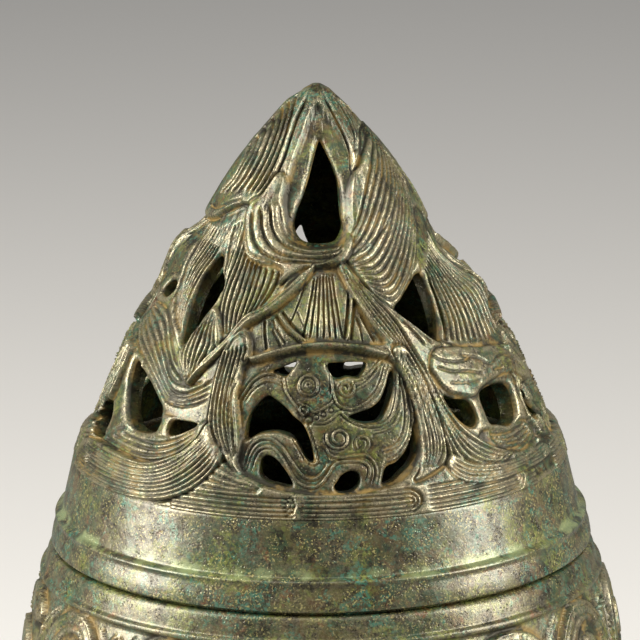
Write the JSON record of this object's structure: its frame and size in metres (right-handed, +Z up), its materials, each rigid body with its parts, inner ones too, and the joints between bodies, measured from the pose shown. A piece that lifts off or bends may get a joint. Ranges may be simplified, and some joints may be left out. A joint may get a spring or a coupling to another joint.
{
  "type": "hill censer",
  "caption": "Stemmed bronze incense bowl under a tall loose lid cast as a pierced mountain, with beasts in caves between striated peaks.",
  "frame": {"origin": "centre of the foot's underside, on the table", "axes": "+Z up the axis of the bowl and lid; the lid's front cave faces -Y"},
  "size_m": [0.1348, 0.1348, 0.2427],
  "materials": {
    "lid_bronze": "worn satin bronze, green-brown patina",
    "bowl_bronze": "worn satin bronze, green-brown patina",
    "stem_bronze": "worn satin bronze, green-brown patina",
    "foot_bronze": "worn satin bronze, green-brown patina",
    "rivet_iron": "hammered, dark rust",
    "washer_iron": "flat, dark rust"
  },
  "bodies": {
    "stand": {"bowl": "bowl_bronze", "stem": "stem_bronze", "foot": "foot_bronze", "tie_rivet": "rivet_iron", "upper_washer": "washer_iron", "lower_washer": "washer_iron"},
    "lid": {"lid": "lid_bronze"}
  },
  "joints": [
    {"name": "lid_lift", "type": "slide", "parent": "stand", "child": "lid", "axis": [0, 0, 1], "range_m": [0, 0.12]}
  ]
}
